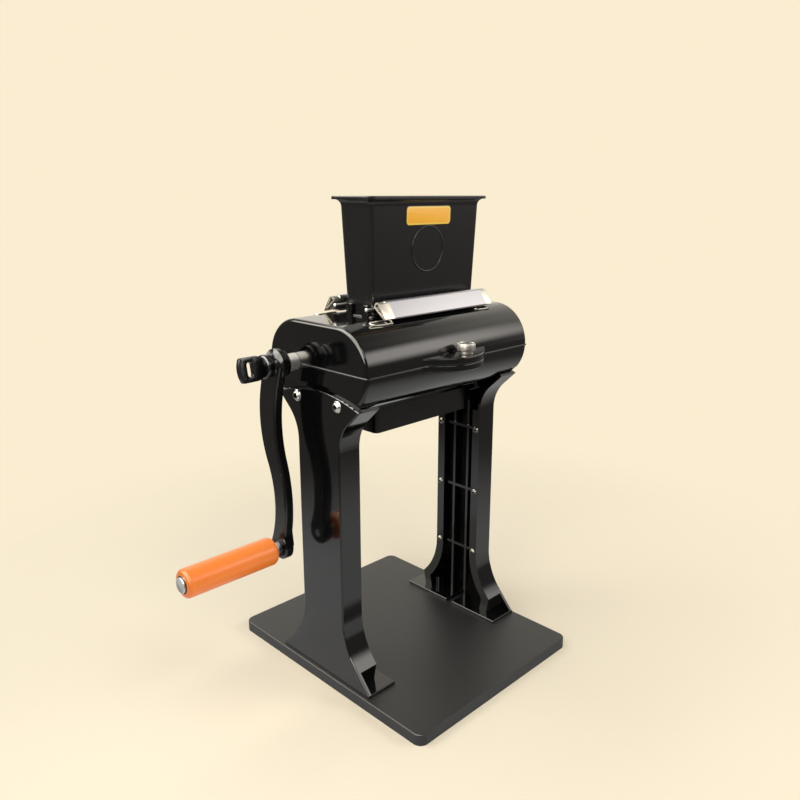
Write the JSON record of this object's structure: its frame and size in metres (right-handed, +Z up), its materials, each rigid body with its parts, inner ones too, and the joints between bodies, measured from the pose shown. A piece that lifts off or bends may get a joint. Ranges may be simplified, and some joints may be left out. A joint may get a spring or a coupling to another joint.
{
  "type": "hand-cranked meat tenderizer",
  "caption": "Hand-cranked meat tenderizer: toothed rollers in a split housing on two legs and a board, with a hopper above, an outlet below and a side crank.",
  "frame": {"origin": "centre of the base board's underside", "axes": "+X along the rollers away from the crank, -Y towards the user's front, +Z up"},
  "size_m": [0.3649, 0.278, 0.48],
  "materials": {
    "board": "satin charcoal board",
    "leg_black": "high-gloss black paint",
    "body_black": "high-gloss black paint",
    "hopper_black": "semi-gloss black, fine grain",
    "chute_black": "satin black paint",
    "arm_black": "gloss black paint",
    "screw_black": "dark nickelled steel",
    "bright_steel": "polished bright steel",
    "strip_steel": "polished stainless strip",
    "nickel": "warm nickel plate",
    "blade_steel": "ground stainless steel",
    "gear_steel": "machined steel",
    "bronze": "sintered bronze",
    "label_amber": "amber film, blank",
    "grip_orange": "semi-gloss orange"
  },
  "bodies": {
    "frame": {"base_board": "board", "left_leg": "leg_black", "right_leg": "leg_black", "foot_bolts": "bright_steel", "leg_screws": "bright_steel", "leg_lip_screws": "bright_steel", "lower_housing": "body_black", "outlet_chute": "chute_black", "chute_screws": "bright_steel", "front_comb": "blade_steel", "rear_comb": "blade_steel", "comb_screws": "bright_steel", "drive_bushings": "bronze", "driven_bushings": "bronze"},
    "drive_roller": {"drive_shaft": "gear_steel", "drive_blades": "blade_steel", "drive_spacers": "blade_steel", "drive_gear": "gear_steel", "drive_ring": "gear_steel", "shaft_sleeve": "bright_steel", "crank_arm": "arm_black", "grip_pin": "bright_steel", "grip_washer": "screw_black"},
    "driven_roller": {"driven_shaft": "gear_steel", "driven_blades": "blade_steel", "driven_spacers": "blade_steel", "driven_gear": "gear_steel", "driven_ring": "gear_steel"},
    "grip": {"grip": "grip_orange"},
    "crank_screw": {"crank_screw": "screw_black"},
    "hood": {"upper_hood": "body_black"},
    "hopper": {"hopper": "hopper_black", "hopper_label": "label_amber"},
    "front_latch": {"front_latch_bar": "strip_steel", "front_latch_clips": "nickel", "front_latch_rod": "bright_steel"},
    "rear_latch": {"rear_latch_bar": "strip_steel", "rear_latch_clips": "nickel", "rear_latch_rod": "bright_steel"},
    "front_hood_screw": {"front_hood_screw": "nickel"},
    "rear_hood_screw": {"rear_hood_screw": "nickel"}
  },
  "joints": [
    {"name": "crank_turn", "type": "hinge", "parent": "frame", "child": "drive_roller", "pos_m": [0, 0.03, 0.33], "axis": [1, 0, 0], "continuous": true},
    {"name": "driven_turn", "type": "hinge", "parent": "frame", "child": "driven_roller", "pos_m": [0, -0.03, 0.33], "axis": [1, 0, 0], "continuous": true},
    {"name": "grip_spin", "type": "hinge", "parent": "drive_roller", "child": "grip", "pos_m": [-0.2, 0.029, 0.1485], "axis": [1, 0, 0], "continuous": true},
    {"name": "crank_screw_turn", "type": "hinge", "parent": "drive_roller", "child": "crank_screw", "pos_m": [-0.15, 0.03, 0.33], "axis": [1, 0, 0], "continuous": true},
    {"name": "hood_lift", "type": "slide", "parent": "frame", "child": "hood", "axis": [0, 0, 1], "range_m": [0, 0.1]},
    {"name": "hopper_lift", "type": "slide", "parent": "hood", "child": "hopper", "axis": [0, 0, 1], "range_m": [0, 0.06]},
    {"name": "front_latch_hinge", "type": "hinge", "parent": "hood", "child": "front_latch", "pos_m": [0.0125, -0.0223, 0.379], "axis": [-1, 0, 0], "range_deg": [0, 55]},
    {"name": "rear_latch_hinge", "type": "hinge", "parent": "hood", "child": "rear_latch", "pos_m": [0.0125, 0.0223, 0.379], "axis": [1, 0, 0], "range_deg": [0, 55]},
    {"name": "front_hood_screw_turn", "type": "hinge", "parent": "hood", "child": "front_hood_screw", "pos_m": [0.003, -0.081, 0.34], "axis": [0, 0, 1], "continuous": true},
    {"name": "rear_hood_screw_turn", "type": "hinge", "parent": "hood", "child": "rear_hood_screw", "pos_m": [0.003, 0.081, 0.34], "axis": [0, 0, 1], "continuous": true}
  ],
  "couplings": [
    {"joint": "driven_turn", "follows": "crank_turn", "ratio": -1}
  ]
}
